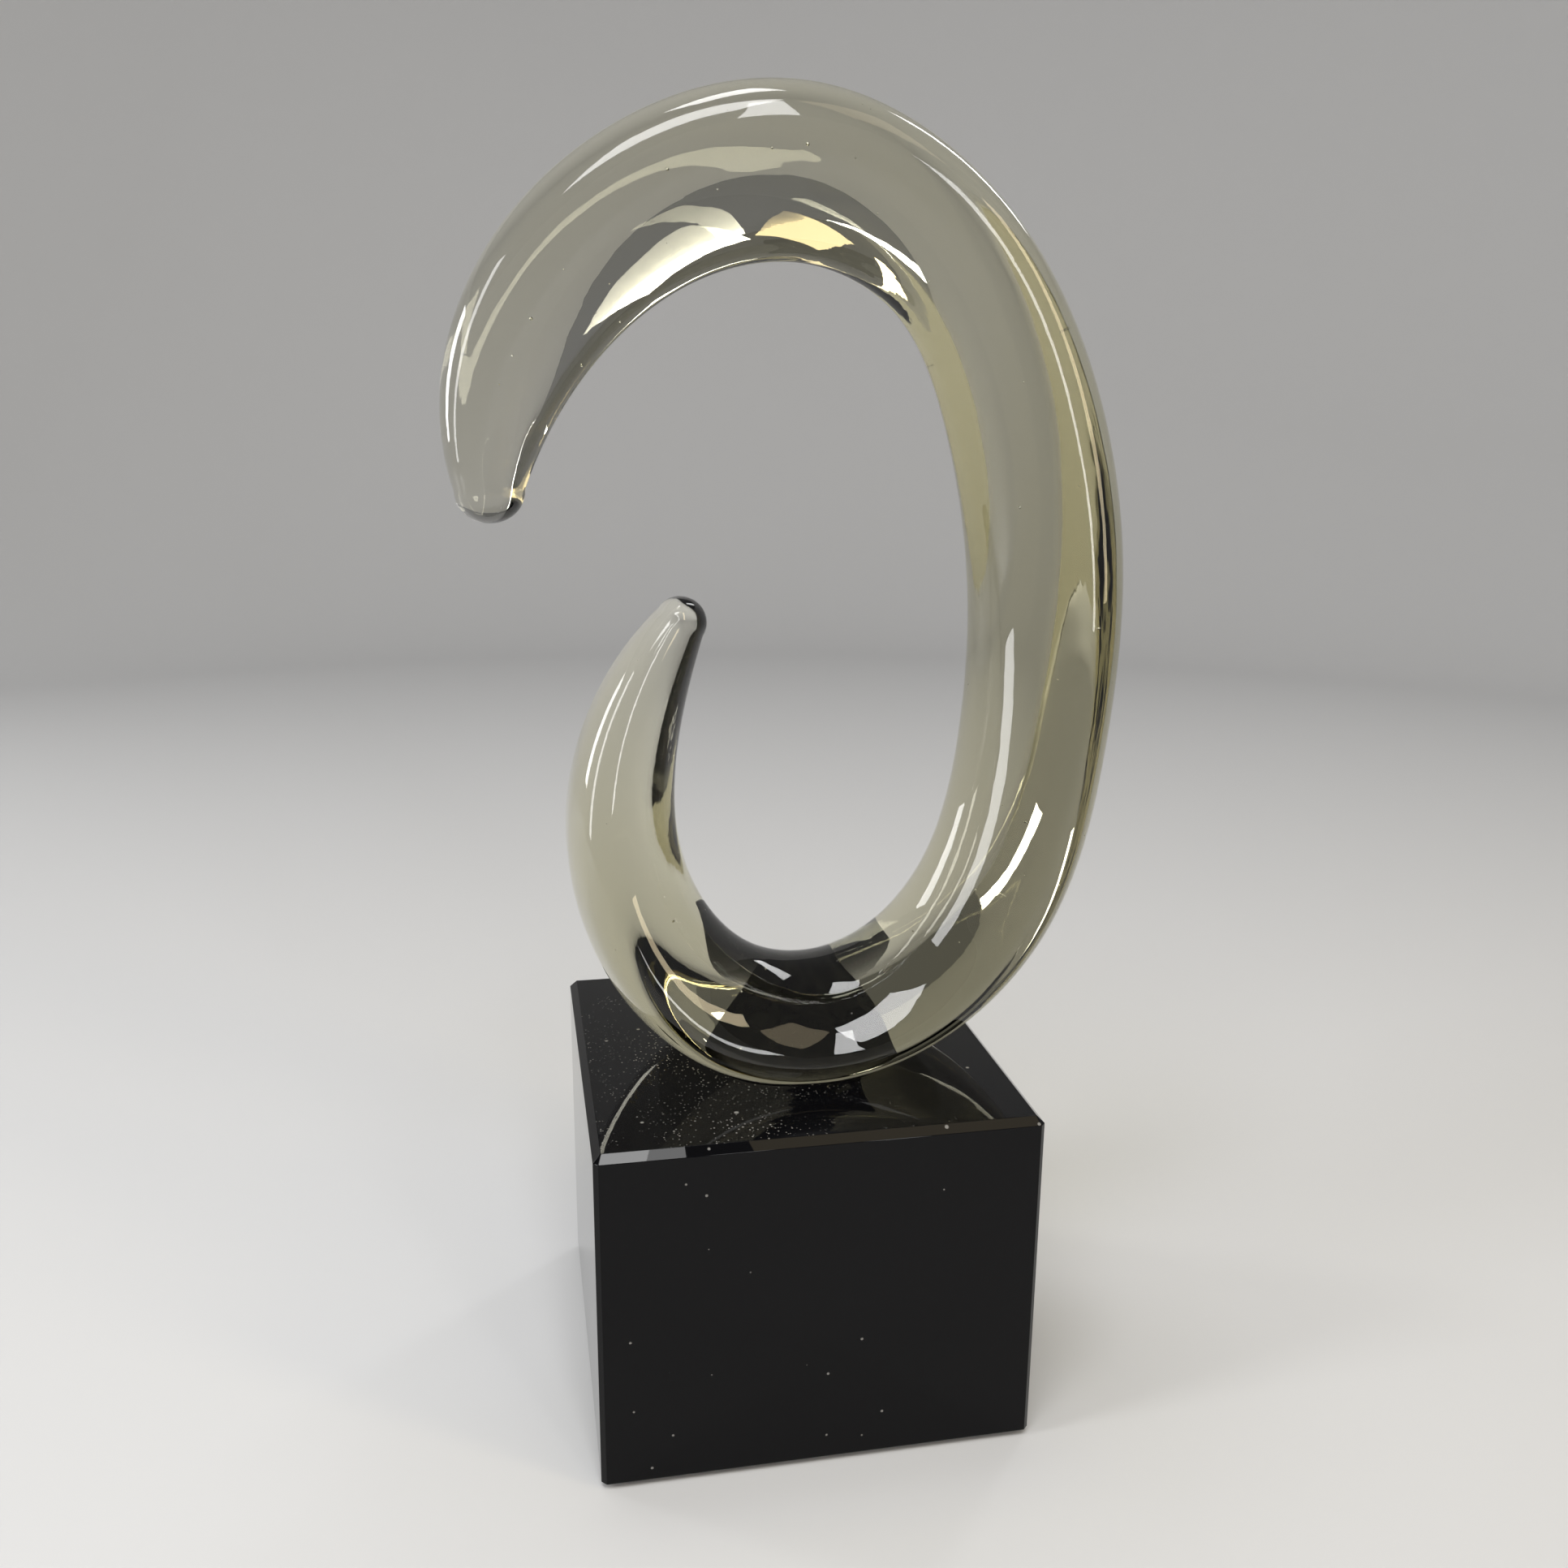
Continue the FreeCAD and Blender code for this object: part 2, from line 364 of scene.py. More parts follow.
def make_speck_group():
    """Specks of dust scattered through space, of mixed sizes."""
    tree, given, made = new_group(
        "Dust Specks",
        {"Place": "Vector", "Spacing": "Float", "Share": "Float", "Size": "Float"},
        {"Mask": "Float"})
    density = maths(tree, "DIVIDE", 1.0, given.outputs["Spacing"])
    cells = put(
        tree, "ShaderNodeTexVoronoi",
        {"Vector": given.outputs["Place"], "Scale": density, "Randomness": 1.0},
        voronoi_dimensions="3D", feature="F1")
    draw = put(tree, "ShaderNodeSeparateColor", {0: cells.outputs["Color"]})
    distance = maths(tree, "MULTIPLY", cells.outputs["Distance"], given.outputs["Spacing"])
    radius = maths(tree, "MULTIPLY", given.outputs["Size"], draw.outputs[1])
    core = maths(tree, "MULTIPLY", radius, 0.6)
    inside = maths(tree, "SUBTRACT", 1.0, fade(tree, distance, core, radius))
    chosen = maths(tree, "LESS_THAN", draw.outputs[0], given.outputs["Share"])
    tree.links.new(maths(tree, "MULTIPLY", inside, chosen), made.inputs["Mask"])


def make_smudge_group():
    """Soft cloudy patches, as wiping and fingers leave them."""
    tree, given, made = new_group(
        "Smudges",
        {"Place": "Vector", "Size": "Float", "Low": "Float", "High": "Float"},
        {"Mask": "Float"})
    density = maths(tree, "DIVIDE", 1.0, given.outputs["Size"])
    clouds = put(
        tree, "ShaderNodeTexNoise",
        {"Vector": given.outputs["Place"], "Scale": density, "Detail": 5.0, "Roughness": 0.6,
         "Distortion": 0.6})
    mask = fade(tree, clouds.outputs[0], given.outputs["Low"], given.outputs["High"])
    tree.links.new(mask, made.inputs["Mask"])


def make_streak_group():
    """Long faint ridges that follow the band, as drawing hot glass leaves them."""
    tree, given, made = new_group(
        "Flow Streaks",
        {"Place": "Vector", "Width": "Float", "Length": "Float"},
        {"Height": "Float"})
    across = maths(tree, "DIVIDE", 1.0, given.outputs["Width"])
    along = maths(tree, "DIVIDE", 1.0, given.outputs["Length"])
    stretch = put(tree, "ShaderNodeCombineXYZ", {0: across, 1: across, 2: along}).outputs[0]
    place = put(
        tree, "ShaderNodeVectorMath", {0: given.outputs["Place"], 1: stretch},
        operation="MULTIPLY").outputs[0]
    ridges = put(
        tree, "ShaderNodeTexNoise",
        {"Vector": place, "Scale": 1.0, "Detail": 3.0, "Roughness": 0.55})
    tree.links.new(ridges.outputs[0], made.inputs["Height"])


# Materials

def clear_glass_material(look):
    """Clear glass with a faint smoke tint, streaks along the band and a little dust."""
    material, tree = new_material("clear_glass")
    straight = put(tree, "ShaderNodeAttribute", attribute_name=STRAIGHT).outputs["Vector"]
    place = put(tree, "ShaderNodeTexCoord").outputs["Object"]
    streaks = use_group(tree, "Flow Streaks", place=straight, width=2.2 * MM, length=60 * MM)
    ripples = use_group(tree, "Flow Streaks", place=straight, width=14 * MM, length=45 * MM)
    height = weighted(
        tree, (streaks.outputs[0], look.streak_depth),
        (ripples.outputs[0], look.streak_depth * RIPPLE_HEIGHT))
    bump = put(tree, "ShaderNodeBump", {"Height": height, "Strength": 1.0, "Distance": 1.0})
    dust = use_group(tree, "Dust Specks", place=place, spacing=3.2 * MM, share=0.3, size=0.22 * MM)
    smudge = use_group(tree, "Smudges", place=place, size=18 * MM, low=0.5, high=0.8)
    roughness = weighted(
        tree, (smudge.outputs[0], SMUDGE_ROUGHNESS), (dust.outputs[0], LOOP_DUST_ROUGHNESS))
    glass = put(
        tree, "ShaderNodeBsdfPrincipled",
        {"Base Color": blend_colour(tree, dust.outputs[0], (1, 1, 1), look.dust),
         "Roughness": roughness, "IOR": CLEAR_GLASS_IOR, "Transmission Weight": 1.0,
         "Normal": bump.outputs[0]})
    shade = put(tree, "ShaderNodeBsdfTransparent", {"Color": (*look.shade, 1)})
    lamp_ray = put(tree, "ShaderNodeLightPath").outputs["Is Shadow Ray"]
    surface = put(
        tree, "ShaderNodeMixShader",
        {0: lamp_ray, 1: glass.outputs[0], 2: shade.outputs[0]})
    smoke = put(
        tree, "ShaderNodeVolumeAbsorption",
        {"Color": (*look.tint, 1), "Density": look.tint_density})
    put(
        tree, "ShaderNodeOutputMaterial",
        {"Surface": surface.outputs[0], "Volume": smoke.outputs[0]})
    return material


def bubble_material():
    """A seed bubble: its wall turns light back, so it looks silvery in the glass."""
    material, tree = new_material("seed_bubble")
    place = put(tree, "ShaderNodeTexCoord").outputs["Object"]
    patch = use_group(tree, "Smudges", place=place, size=0.4 * MM, low=0.3, high=0.7)
    wall = put(
        tree, "ShaderNodeBsdfPrincipled",
        {"Base Color": blend_colour(tree, patch.outputs[0], SILVER, DULL_SILVER),
         "Roughness": 0.08, "Metallic": 1.0})
    put(tree, "ShaderNodeOutputMaterial", {"Surface": wall.outputs[0]})
    return material


def black_glass_material(look):
    """Polished black glass with dust and wiping marks, mostly on its top."""
    material, tree = new_material("black_glass")
    coordinates = put(tree, "ShaderNodeTexCoord")
    place = coordinates.outputs["Object"]
    facing = put(tree, "ShaderNodeSeparateXYZ", {0: coordinates.outputs["Normal"]}).outputs[2]
    top = fade(tree, facing, 0.85, 0.98)
    fine = use_group(
        tree, "Dust Specks", place=place, spacing=0.6 * MM, share=0.75, size=0.24 * MM)
    specks = use_group(
        tree, "Dust Specks", place=place, spacing=3.5 * MM, share=0.3, size=0.55 * MM)
    settled = use_group(tree, "Smudges", place=place, size=30 * MM, low=0.42, high=0.66)
    wiped = use_group(tree, "Smudges", place=place, size=40 * MM, low=0.45, high=0.75)
    # Dust lies towards the left and front of the top
    across = put(tree, "ShaderNodeSeparateXYZ", {0: place})
    leftness = weighted(tree, (across.outputs[0], -1.0), (across.outputs[1], -FRONT_SHARE))
    lying = maths(tree, "MULTIPLY", top, fade(tree, leftness, DUST_BEGINS, DUST_FULL))
    settled_dust = maths(
        tree, "MULTIPLY", lying, maths(tree, "MULTIPLY", fine.outputs[0], settled.outputs[0]))
    cover = weighted(tree, (settled_dust, SETTLED_COVER), (specks.outputs[0], SPECK_COVER))
    dust = maths(tree, "MINIMUM", 1.0, cover)
    wiped_top = maths(tree, "MULTIPLY", wiped.outputs[0], top)
    roughness = weighted(
        tree, (wiped_top, WIPED_ROUGHNESS), (dust, BLOCK_DUST_ROUGHNESS),
        base=POLISH_ROUGHNESS)
    glass = put(
        tree, "ShaderNodeBsdfPrincipled",
        {"Base Color": blend_colour(tree, dust, look.black, look.dust),
         "Roughness": roughness, "IOR": BLACK_GLASS_IOR})
    put(tree, "ShaderNodeOutputMaterial", {"Surface": glass.outputs[0]})
    return material


def adhesive_material(look):
    """The clear film, which looks black because black glass lies right under it."""
    material, tree = new_material("clear_adhesive")
    place = put(tree, "ShaderNodeTexCoord").outputs["Object"]
    patch = use_group(tree, "Smudges", place=place, size=5 * MM, low=0.3, high=0.8)
    film = put(
        tree, "ShaderNodeBsdfPrincipled",
        {"Base Color": blend_colour(tree, patch.outputs[0], look.black, FILM_GREY),
         "Roughness": 0.25, "IOR": ADHESIVE_IOR})
    put(tree, "ShaderNodeOutputMaterial", {"Surface": film.outputs[0]})
    return material


def felt_material(look):
    """Matt black felt with short tangled fibres, and painted shade where they stand lower."""
    material, tree = new_material("felt")
    place = put(tree, "ShaderNodeTexCoord").outputs["Object"]
    fibre = use_group(tree, "Smudges", place=place, size=0.35 * MM, low=0.3, high=0.7)
    lint = use_group(tree, "Dust Specks", place=place, spacing=2.5 * MM, share=0.4, size=0.2 * MM)
    # One noise sets both the fibres' colour and their height. It is partly their own mixed tone and
    # partly painted shade, darker where the fibres stand lower.
    dark, light = ([share * part for part in look.felt] for share in (0.5, 1.6))
    fibre_tone_and_shade = blend_colour(tree, fibre.outputs[0], dark, light)
    height = maths(tree, "MULTIPLY", fibre.outputs[0], FIBRE_HEIGHT)
    bump = put(tree, "ShaderNodeBump", {"Height": height, "Strength": 1.0, "Distance": 1.0})
    cloth = put(
        tree, "ShaderNodeBsdfPrincipled",
        {"Base Color": blend_colour(tree, lint.outputs[0], fibre_tone_and_shade, look.dust),
         "Roughness": 0.95, "Sheen Weight": 0.3, "Normal": bump.outputs[0]})
    put(tree, "ShaderNodeOutputMaterial", {"Surface": cloth.outputs[0]})
    return material


def plain_material(name, colour):
    """A plain matt paper finish for the stage."""
    material, tree = new_material(name)
    paper = put(
        tree, "ShaderNodeBsdfPrincipled",
        {"Base Color": (*colour, 1), "Roughness": 0.9, "Specular IOR Level": 0.1})
    put(tree, "ShaderNodeOutputMaterial", {"Surface": paper.outputs[0]})
    return material


# Mesh helpers

def only(kind, items):
    """The items of one bmesh kind."""
    return [item for item in items if isinstance(item, kind)]


def mesh_object(bm, name, material):
    """Turns a bmesh into an object of the scene."""
    mesh = bpy.data.meshes.new(name)
    bm.to_mesh(mesh)
    bm.free()
    mesh.materials.append(material)
    made = bpy.data.objects.new(name, mesh)
    bpy.context.scene.collection.objects.link(made)
    return made


def finish_piece(bm, name, material, replaces=()):
    """Turns a bmesh into a piece that rides on the root body."""
    piece = mesh_object(bm, name, material)
    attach(piece, "root")
    if replaces:
        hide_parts(*replaces)


def shade_smooth(faces):
    """Makes faces look curved."""
    for face in faces:
        face.smooth = True


def boxed(bm, low, high):
    """A cube stretched between two corners."""
    cube = bmesh.ops.create_cube(bm, size=1.0)["verts"]
    size = high - low
    bmesh.ops.scale(bm, vec=size, verts=cube)
    bmesh.ops.translate(bm, vec=(low + high) / 2, verts=cube)


def bevel_edges(bm, edges, size, segments=1):
    """Bevels edges, and gives back the new faces."""
    return bmesh.ops.bevel(
        bm, geom=edges, offset=size, offset_type="OFFSET", affect="EDGES",
        segments=segments, profile=0.5, material=-1, clamp_overlap=True)["faces"]


def level_edges(bm, height):
    """The edges that lie level at a height."""
    return [
        edge for edge in bm.edges
        if all(abs(vert.co.z - height) < TOUCHING for vert in edge.verts)]


def upright_edges(bm):
    """The edges that run straight up."""
    return [
        edge for edge in bm.edges
        if (edge.verts[1].co - edge.verts[0].co).xy.length < TOUCHING]


# The glass loop

def smooth_curve(marks, rows):
    """A cubic curve through rows of numbers, as a function that gives its value and slope."""
    step = np.diff(marks)
    rise = np.diff(rows, axis=0) / step[:, None]
    count = len(marks)
    system = np.zeros((count, count))
    right = np.zeros_like(rows)
    for row in range(1, count - 1):
        system[row, row - 1:row + 2] = step[row - 1], 2 * (step[row - 1] + step[row]), step[row]
        right[row] = 6 * (rise[row] - rise[row - 1])
    # One cubic serves the first two spans, and one the last two
    system[0, :3] = -step[1], step[0] + step[1], -step[0]
    system[-1, -3:] = -step[-1], step[-1] + step[-2], -step[-2]
    bend = np.linalg.solve(system, right)

    def value_and_slope(mark):
        span = int(np.clip(np.searchsorted(marks, mark) - 1, 0, count - 2))
        after = (mark - marks[span]) / step[span]
        before = 1 - after
        bow = (before**3 - before) * bend[span] + (after**3 - after) * bend[span + 1]
        value = before * rows[span] + after * rows[span + 1] + bow * step[span]**2 / 6
        slope = rise[span] + (
            (3 * after**2 - 1) * bend[span + 1] - (3 * before**2 - 1) * bend[span]) * step[span] / 6
        return value, slope

    return value_and_slope


def ring_place(middle, along, width, depth):
    """The matrix that puts the unit section across the band."""
    outward = Vector((-along.z, 0, along.x))
    place = Matrix.Identity(4)
    for column, axis in enumerate((outward * width, Vector((0, depth, 0)), -along)):
        place.col[column].xyz = axis
    place.translation = middle
    return place


def tip_rings(root, length, side):
    """Rings that round the band off past its first ring, with side -1, or its last, with side 1."""
    middle, along, width, depth, distance = root
    rings = []
    for step in range(1, TIP_STEPS):
        turn = math.pi / 2 * step / TIP_STEPS
        reach = side * length * math.sin(turn)
        wide, deep = width * math.cos(turn), depth * math.cos(turn)
        place = ring_place(middle + along * reach, along, wide, deep)
        rings.append((place, wide, deep, distance + reach))
    return rings, middle + along * side * length


def band_rings(sizes):
    """Every ring of the band from the upper tip to the lower one, and the two ends."""
    scale = (sizes.loop_width, sizes.loop_height, sizes.band_width, sizes.band_depth)
    stations = np.array(STATION_SHARES) * scale
    chords = np.linalg.norm(np.diff(stations[:, :2], axis=0), axis=1)
    marks = np.concatenate([[0.0], np.cumsum(chords)])
    curve = smooth_curve(marks, stations)
    samples = np.linspace(0, marks[-1], CURVE_SAMPLES)
    trace = np.array([curve(mark)[0][:2] for mark in samples])
    lengths = np.concatenate([[0.0], np.cumsum(np.linalg.norm(np.diff(trace, axis=0), axis=1))])

    rings = []
    lowest = math.inf
    for distance in np.linspace(0, lengths[-1], round(lengths[-1] / sizes.ring_spacing) + 1):
        (x, z, width, depth), slope = curve(np.interp(distance, lengths, samples))
        along = Vector((slope[0], 0, slope[1])).normalized()
        rings.append((Vector((x, 0, z)), along, width, depth, distance))
        lowest = min(lowest, z - 0.5 * width * abs(along.x))
    for middle, *_ in rings:
        middle.z += SEAT_HEIGHT - sizes.seat_grind - lowest

    upper, upper_end = tip_rings(rings[0], sizes.upper_tip, -1)
    lower, lower_end = tip_rings(rings[-1], sizes.lower_tip, 1)
    band = [
        (ring_place(middle, along, width, depth), width, depth, distance)
        for middle, along, width, depth, distance in rings]
    return upper[::-1] + band + lower, upper_end, lower_end


def ridge_height(x, y, distance):
    """How much the drawn glass swells at a place: long ridges that are stronger at the rim."""
    turn = math.atan2(y, x)
    spot = RIDGE_TURNS * math.cos(turn), RIDGE_TURNS * math.sin(turn), distance / RIDGE_LENGTH
    return noise.noise(spot) * (RIDGE_EVENNESS + x)


def draw_band(sizes):
    """The drawn loop as a bmesh: an egg-shaped ring extruded from place to place along the band."""
    rings, upper_end, lower_end = band_rings(sizes)
    bm = bmesh.new()
    egg = bm.verts.layers.float_vector.new("egg")
    straight = bm.verts.layers.float_vector.new(STRAIGHT)
    lean = sizes.belly_share - 0.5
    # The fuller rim moves the deepest place outwards, and its depth is brought back to that given
    fullest = (math.sqrt(1 + 8 * sizes.rim_fullness**2) - 1) / (4 * sizes.rim_fullness)
    deepest = math.sqrt(1 - fullest**2) * (1 + sizes.rim_fullness * fullest)
    ring = bmesh.ops.create_circle(
        bm, cap_ends=False, segments=sizes.ring_points, radius=0.5)["verts"]
    for vert in ring:
        outward = 2 * vert.co.x
        deep = vert.co.y * (1 + sizes.rim_fullness * outward) / deepest
        vert[egg] = (vert.co.x + lean * (1 - outward**2), deep, 0)
    edges = bm.edges[:]
    for number, (place, width, depth, distance) in enumerate(rings):
        if number:
            grown = bmesh.ops.extrude_edge_only(bm, edges=edges)["geom"]
            ring = only(bmesh.types.BMVert, grown)
            fresh = set(ring)
            edges = [
                edge for edge in only(bmesh.types.BMEdge, grown)
                if fresh.issuperset(edge.verts)]
        for vert in ring:
            x, y, _ = vert[egg]
            swell = 1 + sizes.draw_ridges / sizes.band_width * ridge_height(x, y, distance)
            vert.co = place @ Vector((x * swell, y * swell, 0))
            vert[straight] = (x * width, y * depth, distance)
    open_edges = [edge for edge in bm.edges if edge.is_boundary]
    ends = bmesh.ops.holes_fill(bm, edges=open_edges, sides=0)["faces"]
    for peak in bmesh.ops.poke(bm, faces=ends)["verts"]:
        at_upper = (peak.co - upper_end).length < (peak.co - lower_end).length
        peak.co = upper_end if at_upper else lower_end
        peak[straight] = (0, 0, rings[0][3] if at_upper else rings[-1][3])
    bm.verts.layers.float_vector.remove(egg)
    bmesh.ops.recalc_face_normals(bm, faces=bm.faces)
    return bm


def grind_seat(bm):
    """Cuts the flat seat under the loop and closes it with one face."""
    cut = bmesh.ops.bisect_plane(
        bm, geom=bm.verts[:] + bm.edges[:] + bm.faces[:], dist=TOUCHING,
        plane_co=(0, 0, SEAT_HEIGHT), plane_no=(0, 0, -1), clear_outer=True)["geom_cut"]
    rim = only(bmesh.types.BMEdge, cut)
    seat = bmesh.ops.contextual_create(bm, geom=rim)["faces"][0]
    for face in bm.faces:
        face.smooth = face is not seat
    for edge in rim:
        edge.smooth = False
    bmesh.ops.recalc_face_normals(bm, faces=bm.faces)


class SCULPTURE_OT_glass_loop(bpy.types.Operator):
    """Draws the clear glass loop and grinds its seat."""

    bl_idname = "sculpture.glass_loop"
    bl_label = "Glass Loop"

    def execute(self, context):
        bm = draw_band(context.scene.loop_sizes)
        grind_seat(bm)
        finish_piece(
            bm, "glass_loop_skin", clear_glass_material(context.scene.glass_look),
            replaces=["glass_loop"])
        return {"FINISHED"}


class SCULPTURE_OT_seed_bubbles(bpy.types.Operator):
    """Scatters small seed bubbles inside the glass."""

    bl_idname = "sculpture.seed_bubbles"
    bl_label = "Seed Bubbles"

    def execute(self, context):
        sizes = context.scene.loop_sizes
        draw = random.Random(11)
        rings, *_ = band_rings(sizes)
        bm = bmesh.new()
        for _ in range(sizes.bubble_count):
            place, *_ = draw.choice(rings[TIP_STEPS * 2:-TIP_STEPS * 2])
            turn, reach = draw.uniform(0, 2 * math.pi), BUBBLE_REACH * math.sqrt(draw.random())
            spot = place @ Vector((reach * math.cos(turn), reach * math.sin(turn), 0))
            radius = sizes.bubble_radius * draw.uniform(SMALLEST_BUBBLE, 1)
            if spot.z < SEAT_HEIGHT + SEAT_CLEARANCE * radius:
                continue
            bmesh.ops.create_icosphere(
                bm, subdivisions=2, radius=radius, matrix=Matrix.Translation(spot))
        shade_smooth(bm.faces)
        finish_piece(bm, "seed_bubbles", bubble_material())
        return {"FINISHED"}


# The base

class SCULPTURE_OT_block(bpy.types.Operator):
    """Cuts and polishes the black glass block."""

    bl_idname = "sculpture.block"
    bl_label = "Black Glass Block"

    def execute(self, context):
        sizes = context.scene.base_sizes
        bm = bmesh.new()
        boxed(bm, BLOCK_LOW, BLOCK_HIGH)
        bevel_edges(bm, upright_edges(bm), sizes.side_bevel)
        bevel_edges(bm, level_edges(bm, BLOCK_HIGH.z), sizes.top_bevel)
        bevel_edges(bm, level_edges(bm, BLOCK_LOW.z), sizes.foot_bevel)
        shade_smooth(bevel_edges(bm, bm.edges[:], sizes.arris_round, segments=2))
        bmesh.ops.remove_doubles(bm, verts=bm.verts, dist=TOUCHING)
        bmesh.ops.recalc_face_normals(bm, faces=bm.faces)
        finish_piece(
            bm, "black_block", black_glass_material(context.scene.glass_look),
            replaces=["base_block"])
        return {"FINISHED"}


class SCULPTURE_OT_film(bpy.types.Operator):
    """Lays the adhesive film under the ground seat."""

    bl_idname = "sculpture.adhesive_film"
    bl_label = "Adhesive Film"

    def execute(self, context):
        skin = bpy.data.objects["glass_loop_skin"].data
        seat = max(skin.polygons, key=lambda face: face.loop_total)
        bm = bmesh.new()
        rim = [skin.vertices[index].co for index in seat.vertices]
        outline = [bm.verts.new((spot.x, spot.y, BLOCK_HIGH.z)) for spot in rim]
        under = bm.faces.new(outline)
        grown = bmesh.ops.extrude_face_region(bm, geom=[under])["geom"]
        rise = SEAT_HEIGHT + context.scene.base_sizes.film_rise - BLOCK_HIGH.z
        bmesh.ops.translate(bm, vec=(0, 0, rise), verts=only(bmesh.types.BMVert, grown))
        bmesh.ops.recalc_face_normals(bm, faces=bm.faces)
        finish_piece(
            bm, "adhesive_film", adhesive_material(context.scene.glass_look),
            replaces=["bond_film"])
        return {"FINISHED"}


class SCULPTURE_OT_felt(bpy.types.Operator):
    """Cuts the felt pad under the block."""

    bl_idname = "sculpture.felt_pad"
    bl_label = "Felt Pad"

    def execute(self, context):
        sizes = context.scene.base_sizes
        bm = bmesh.new()
        boxed(bm, FELT_LOW, FELT_HIGH)
        bevel_edges(bm, upright_edges(bm), sizes.felt_corner, segments=10)
        rims = level_edges(bm, FELT_HIGH.z) + level_edges(bm, FELT_LOW.z)
        bevel_edges(bm, rims, sizes.felt_edge, segments=3)
        for face in bm.faces:
            face.smooth = abs(face.normal.z) < 0.99
        bmesh.ops.recalc_face_normals(bm, faces=bm.faces)
        finish_piece(
            bm, "felt_sheet", felt_material(context.scene.glass_look),
            replaces=["felt_pad"])
        return {"FINISHED"}


# The stage

# Colours of the lamps, and the place that they all look at
WHITE = (1.0, 1.0, 1.0)
WARM = (1.0, 0.84, 0.56)
LAMP_AIM = Vector((0, 0, 0.12))

# Soft lamps round the sculpture: azimuth from the far side towards the right and elevation in
# degrees, distance and size in metres, power in watts, and colour
LAMPS = [
    ("overhead_lamp", -20, 80, 1.15, (0.34, 0.30), 4.2, WHITE),
    ("window_lamp", -157, 57, 0.90, (0.48, 0.32), 7.4, WHITE),
    ("window_edge", 176, 44, 0.95, (0.09, 0.50), 2.0, WHITE),
    ("window_foot", 161, 13, 0.95, (0.08, 0.46), 1.6, WHITE),
    ("side_lamp", -103, 17, 0.72, (0.15, 0.60), 3.4, WHITE),
    ("left_strip", -60, 13, 0.95, (0.15, 0.44), 2.6, WHITE),
    ("right_card", 130, 20, 0.80, (0.12, 0.55), 2.2, WARM),
    ("warm_wall", 150, 52, 0.95, (0.28, 0.30), 0.7, WARM),
    ("back_strip", 46, 40, 0.95, (0.10, 0.40), 1.3, WHITE),
]


def add_area_lamp(name, azimuth, elevation, distance, size, power, colour):
    """Adds a rectangular soft lamp that looks at the middle of the sculpture."""
    lamp = bpy.data.lights.new(name, "AREA")
    lamp.shape = "RECTANGLE"
    lamp.size, lamp.size_y = size
    lamp.energy = power
    lamp.color = colour
    stand = bpy.data.objects.new(name, lamp)
    bpy.context.scene.collection.objects.link(stand)
    turn, rise = math.radians(azimuth), math.radians(elevation)
    level = math.cos(rise)
    direction = Vector((math.sin(turn) * level, math.cos(turn) * level, math.sin(rise)))
    stand.location = LAMP_AIM + direction * distance
    stand.rotation_euler = direction.to_track_quat("Z", "Y").to_euler()


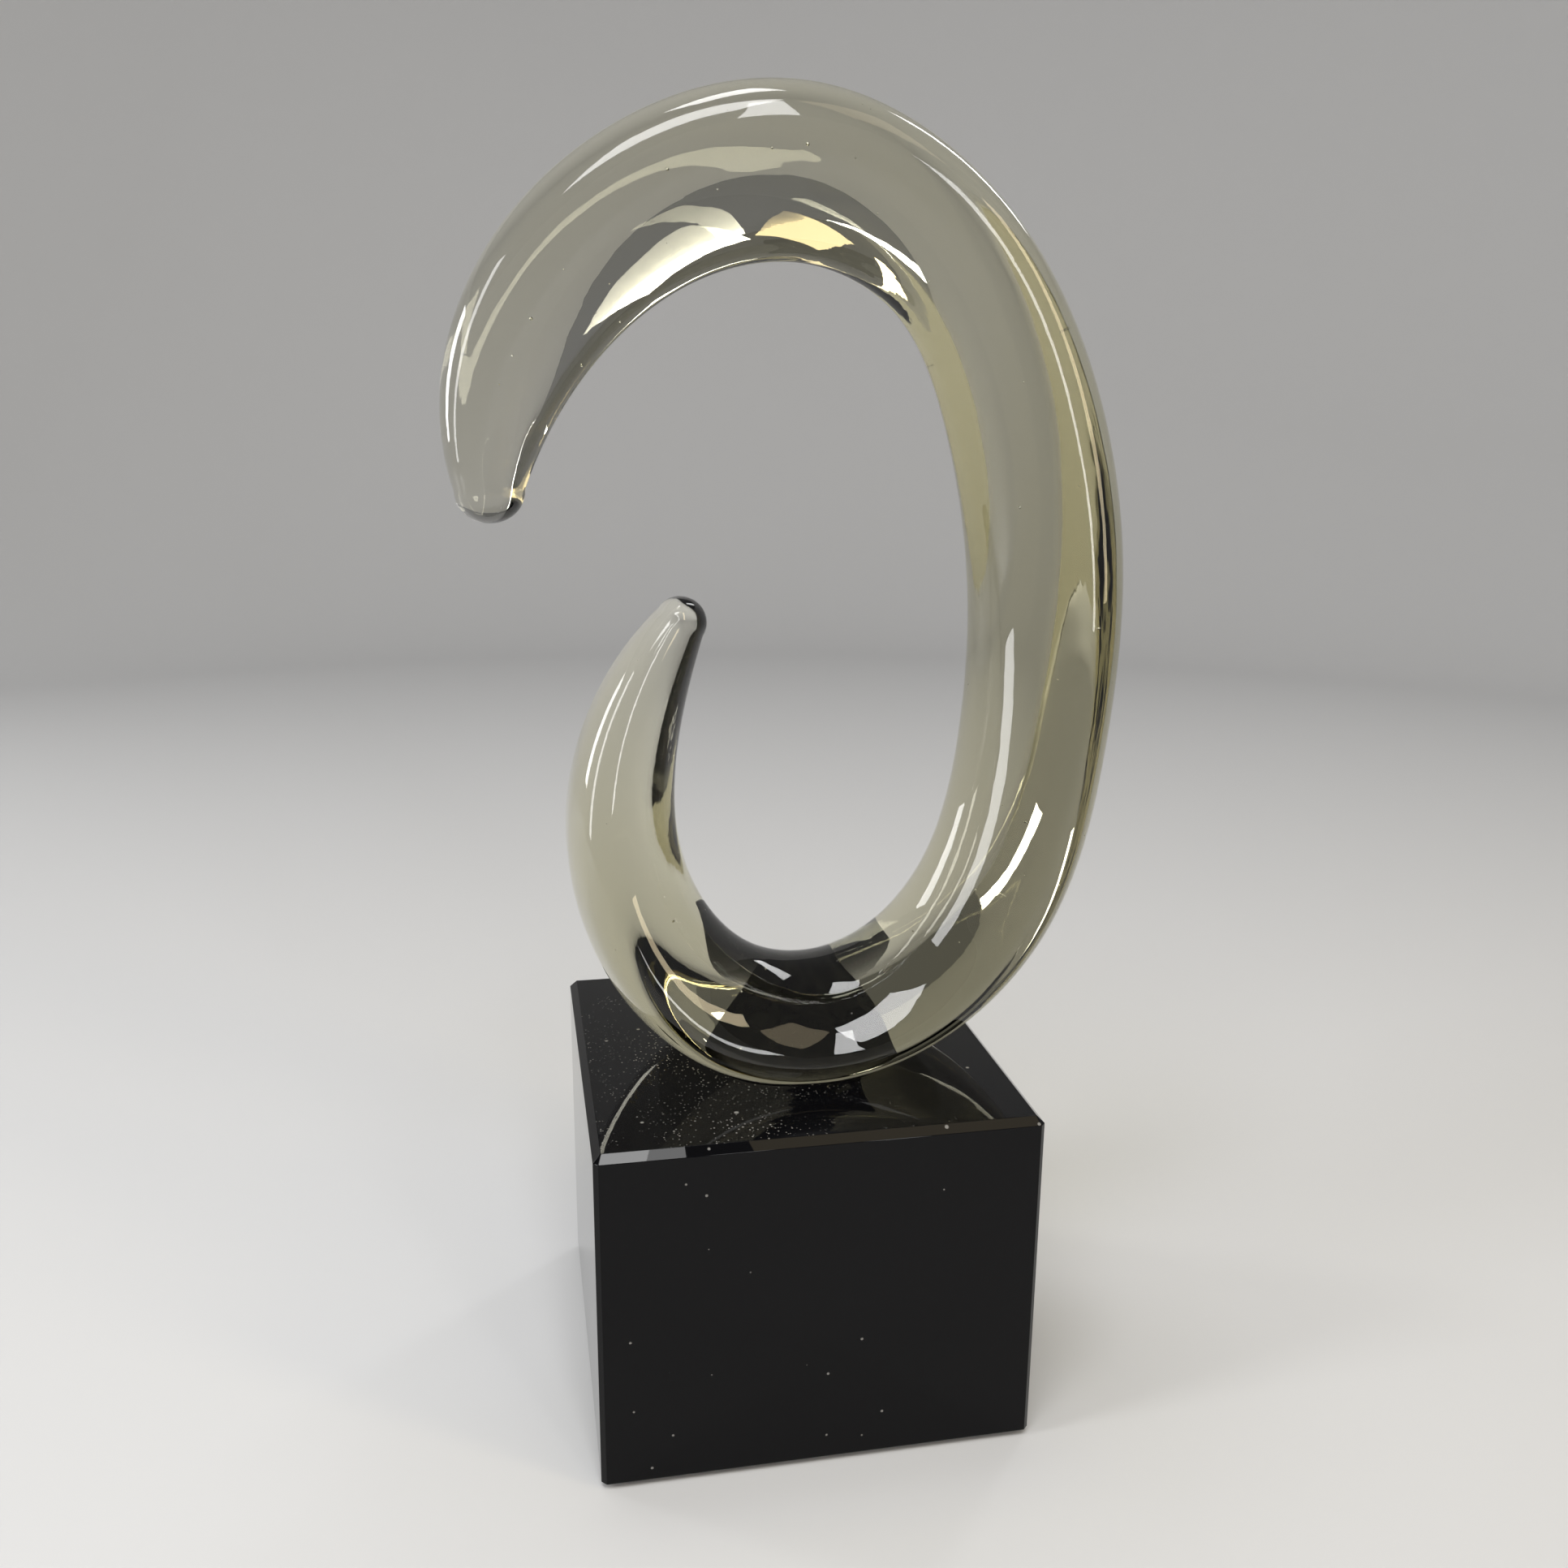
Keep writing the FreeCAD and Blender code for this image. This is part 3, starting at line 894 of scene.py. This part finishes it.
class SCULPTURE_OT_stage(bpy.types.Operator):
    """Sets up the pale floor and backdrop, the lamps and the camera."""

    bl_idname = "sculpture.stage"
    bl_label = "Studio"

    def execute(self, context):
        look = context.scene.stage_look
        bm = bmesh.new()
        radius, height = look.backdrop_radius, look.backdrop_height
        corners = ((0, 0, 0), (radius, 0, 0), (radius, 0, height))
        profile = [bm.verts.new(place) for place in corners]
        for start, end in zip(profile, profile[1:]):
            bm.edges.new((start, end))
        bmesh.ops.bevel(
            bm, geom=[profile[1]], offset=look.backdrop_sweep, offset_type="OFFSET",
            affect="VERTICES", segments=16, profile=0.5, material=-1)
        bmesh.ops.spin(
            bm, geom=bm.verts[:] + bm.edges[:], cent=(0, 0, 0), axis=(0, 0, 1),
            angle=2 * math.pi, steps=96, use_merge=True, use_duplicate=False)
        bmesh.ops.remove_doubles(bm, verts=bm.verts, dist=10 * TOUCHING)
        bmesh.ops.recalc_face_normals(bm, faces=bm.faces)
        bmesh.ops.reverse_faces(bm, faces=bm.faces)
        shade_smooth(bm.faces)
        backdrop = mesh_object(bm, "backdrop", plain_material("pale_paper", look.floor))

        world = bpy.data.worlds.new("dim_room")
        context.scene.world = world
        world.use_nodes = True
        world.node_tree.nodes.clear()
        room = put(
            world.node_tree, "ShaderNodeBackground",
            {"Color": (*look.ceiling, 1), "Strength": 1.0})
        put(world.node_tree, "ShaderNodeOutputWorld", {"Surface": room.outputs[0]})

        for *place, power, colour in LAMPS:
            add_area_lamp(*place, power * look.lamp_level, colour)

        context.scene.camera = self.make_camera(context, look)
        context.scene.view_settings.view_transform = "Standard"
        return {"FINISHED"}

    def make_camera(self, context, look):
        """The camera at the place and angle that the photograph was taken from."""
        lens = bpy.data.cameras.new("camera")
        lens.sensor_width = 36
        lens.lens = look.camera_lens
        lens.clip_start, lens.clip_end = 0.01, 50
        camera = bpy.data.objects.new("camera", lens)
        context.scene.collection.objects.link(camera)
        camera.matrix_world = (
            Matrix.Translation(look.camera_place)
            @ Matrix.Rotation(-look.camera_yaw, 4, "Z")
            @ Matrix.Rotation(math.pi / 2 - look.camera_pitch, 4, "X")
            @ Matrix.Rotation(look.camera_roll, 4, "Z"))
        return camera


class SCULPTURE_OT_effects(bpy.types.Operator):
    """Builds the effects that the materials share."""

    bl_idname = "sculpture.effects"
    bl_label = "Shared Effects"

    def execute(self, context):
        make_speck_group()
        make_smudge_group()
        make_streak_group()
        return {"FINISHED"}


OPERATORS = [
    SCULPTURE_OT_effects,
    SCULPTURE_OT_glass_loop,
    SCULPTURE_OT_seed_bubbles,
    SCULPTURE_OT_block,
    SCULPTURE_OT_film,
    SCULPTURE_OT_felt,
    SCULPTURE_OT_stage,
]


class SCULPTURE_PT_panel(bpy.types.Panel):
    """Lists the sculpture's operators, sizes and colours."""

    bl_idname = "SCULPTURE_PT_panel"
    bl_label = "Glass Loop Sculpture"
    bl_space_type = "VIEW_3D"
    bl_region_type = "UI"
    bl_category = "Sculpture"

    def draw(self, context):
        for operator in OPERATORS:
            self.layout.operator(operator.bl_idname)
        for name, kind in PROPERTY_SETS.items():
            box = self.layout.box()
            for item in kind.__annotations__:
                box.prop(getattr(context.scene, name), item)


def register():
    for kind in [*PROPERTY_SETS.values(), *OPERATORS, SCULPTURE_PT_panel]:
        bpy.utils.register_class(kind)
    for name, kind in PROPERTY_SETS.items():
        setattr(bpy.types.Scene, name, PointerProperty(type=kind))


def unregister():
    for name in PROPERTY_SETS:
        delattr(bpy.types.Scene, name)
    for kind in [SCULPTURE_PT_panel, *reversed(OPERATORS), *reversed(PROPERTY_SETS.values())]:
        bpy.utils.unregister_class(kind)


def main():
    """Builds the sculpture and its studio."""
    register()
    bpy.ops.sculpture.effects()
    bpy.ops.sculpture.glass_loop()
    bpy.ops.sculpture.seed_bubbles()
    bpy.ops.sculpture.block()
    bpy.ops.sculpture.adhesive_film()
    bpy.ops.sculpture.felt_pad()
    bpy.ops.sculpture.stage()


if __name__ == "__main__":
    main()
